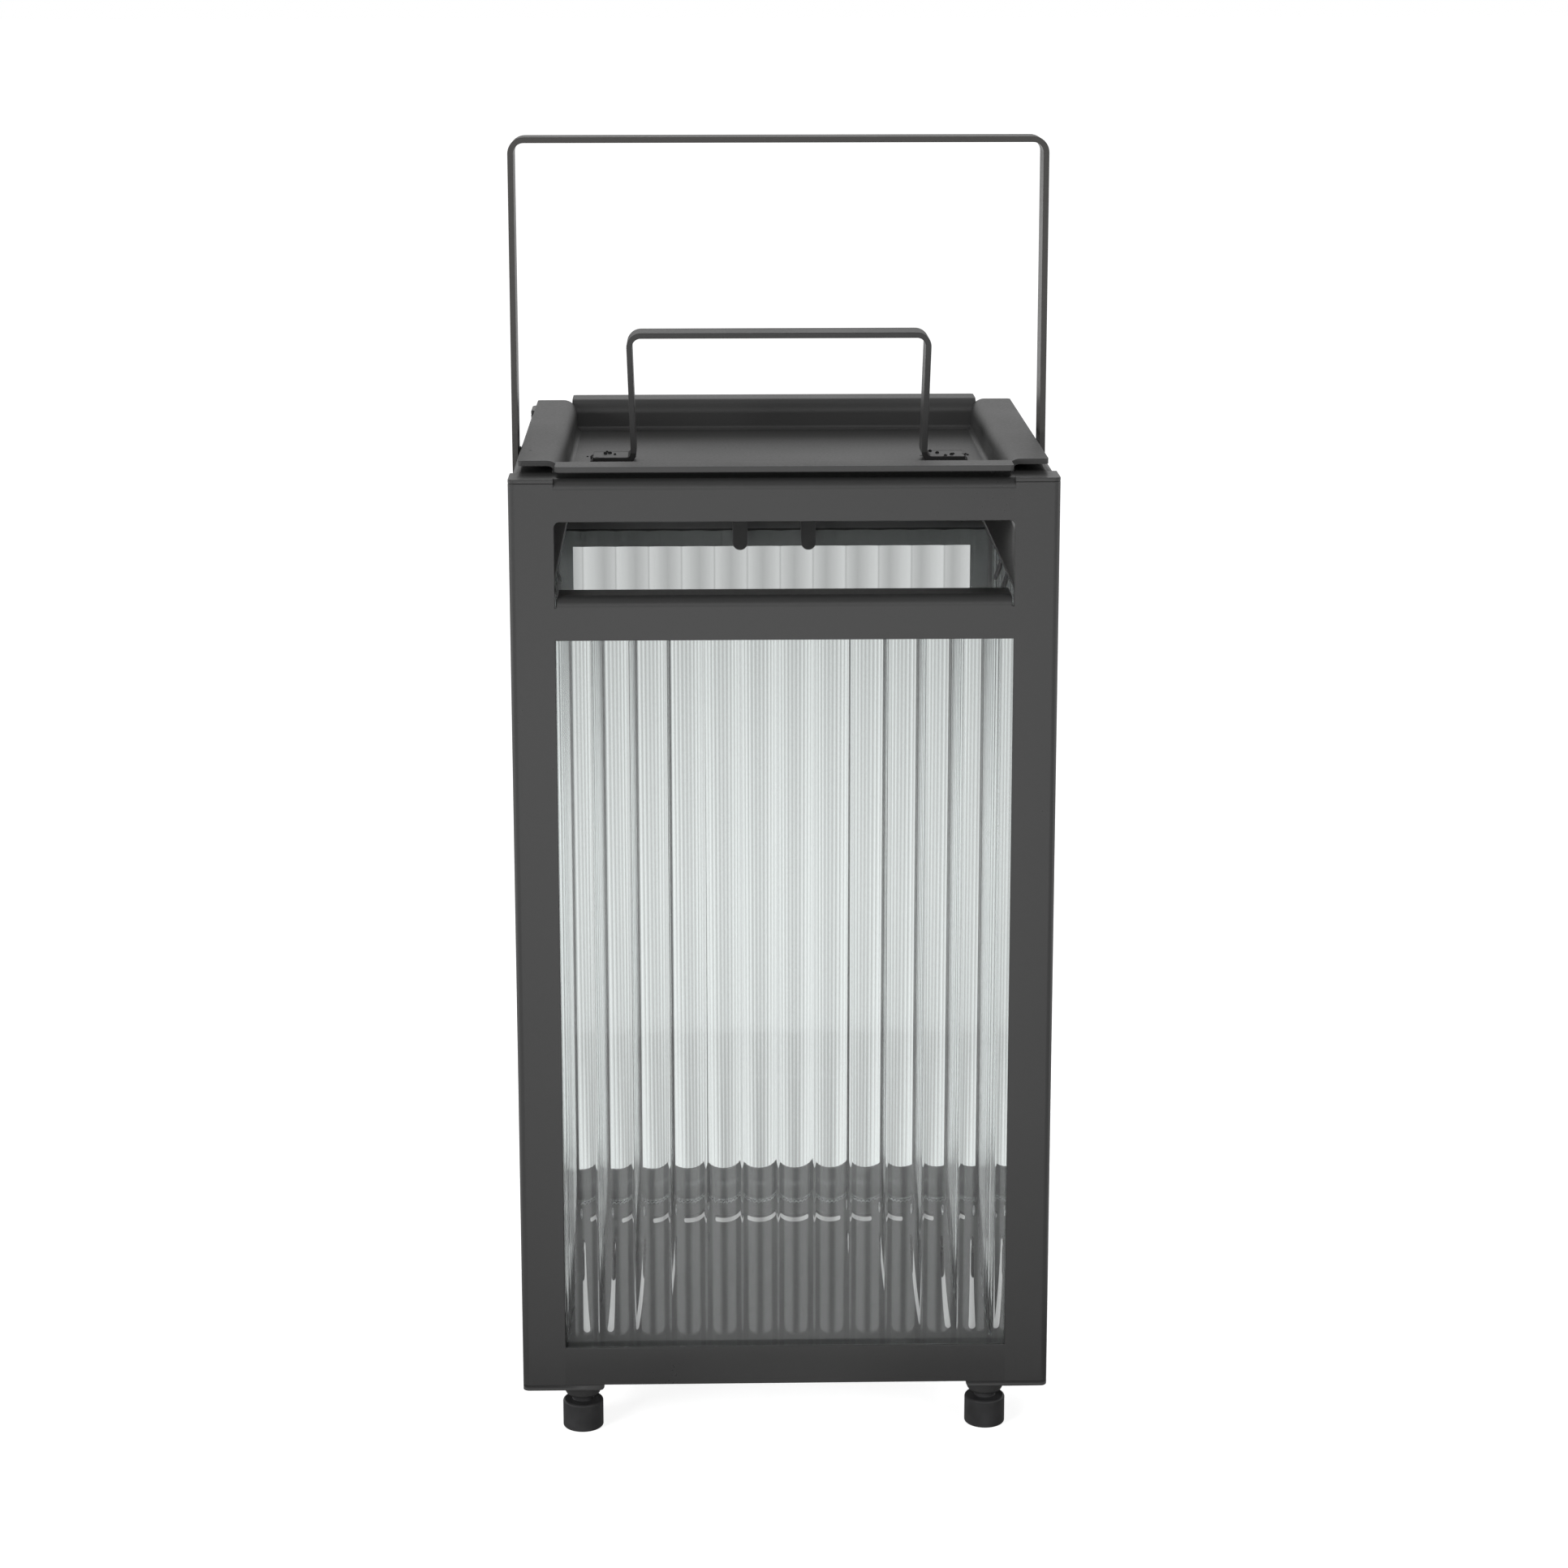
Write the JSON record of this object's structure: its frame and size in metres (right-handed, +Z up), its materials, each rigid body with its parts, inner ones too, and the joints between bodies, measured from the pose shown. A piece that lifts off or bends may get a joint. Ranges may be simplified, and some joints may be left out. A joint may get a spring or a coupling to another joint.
{
  "type": "candle lantern",
  "caption": "Square metal candle lantern with fluted glass panes, open air slots under a recessed lift-off lid with a strap handle, a swinging carry bail and round feet.",
  "frame": {"origin": "on the table, under the middle of the lantern", "axes": "+Z up, front towards -Y, bail's pivot line along X"},
  "size_m": [0.206, 0.2, 0.4913],
  "materials": {
    "frame_paint": "fine-textured matt charcoal powder coat",
    "lid_paint": "fine-textured matt charcoal powder coat",
    "bail_paint": "fine-textured matt charcoal powder coat",
    "fluted_glass": "clear, flat outside, upright flutes inside",
    "foot_rubber": "black, half gloss",
    "pad_rubber": "black, matt",
    "zinc_steel": "zinc plated",
    "washer_plastic": "black, matt"
  },
  "bodies": {
    "frame": {"base_plate": "frame_paint", "foot_screws": "zinc_steel", "front_bottom_rail": "frame_paint", "front_glass_clips": "frame_paint", "front_left_cap": "frame_paint", "front_left_corner_plate": "frame_paint", "front_left_foot": "foot_rubber", "front_left_post": "frame_paint", "front_mid_rail": "frame_paint", "front_pane": "fluted_glass", "front_right_cap": "frame_paint", "front_right_corner_plate": "frame_paint", "front_right_foot": "foot_rubber", "front_right_post": "frame_paint", "front_top_rail": "frame_paint", "left_bottom_rail": "frame_paint", "left_glass_clips": "frame_paint", "left_mid_rail": "frame_paint", "left_pane": "fluted_glass", "left_pivot_rivet": "bail_paint", "left_pivot_washer": "washer_plastic", "left_top_rail": "frame_paint", "rear_bottom_rail": "frame_paint", "rear_glass_clips": "frame_paint", "rear_left_cap": "frame_paint", "rear_left_corner_plate": "frame_paint", "rear_left_foot": "foot_rubber", "rear_left_post": "frame_paint", "rear_mid_rail": "frame_paint", "rear_pane": "fluted_glass", "rear_right_cap": "frame_paint", "rear_right_corner_plate": "frame_paint", "rear_right_foot": "foot_rubber", "rear_right_post": "frame_paint", "rear_top_rail": "frame_paint", "right_bottom_rail": "frame_paint", "right_glass_clips": "frame_paint", "right_mid_rail": "frame_paint", "right_pane": "fluted_glass", "right_pivot_rivet": "bail_paint", "right_pivot_washer": "washer_plastic", "right_top_rail": "frame_paint"},
    "bail": {"bail_handle": "bail_paint"},
    "lid": {"lid_tray": "lid_paint", "lid_handle": "lid_paint", "lid_pads": "pad_rubber"}
  },
  "joints": [
    {"name": "bail_swing", "type": "hinge", "parent": "frame", "child": "bail", "pos_m": [0, 0, 0.3662], "axis": [1, 0, 0], "range_deg": [-120, 120]},
    {"name": "lid_lift", "type": "slide", "parent": "frame", "child": "lid", "axis": [0, 0, 1], "range_m": [0, 0.05]}
  ]
}
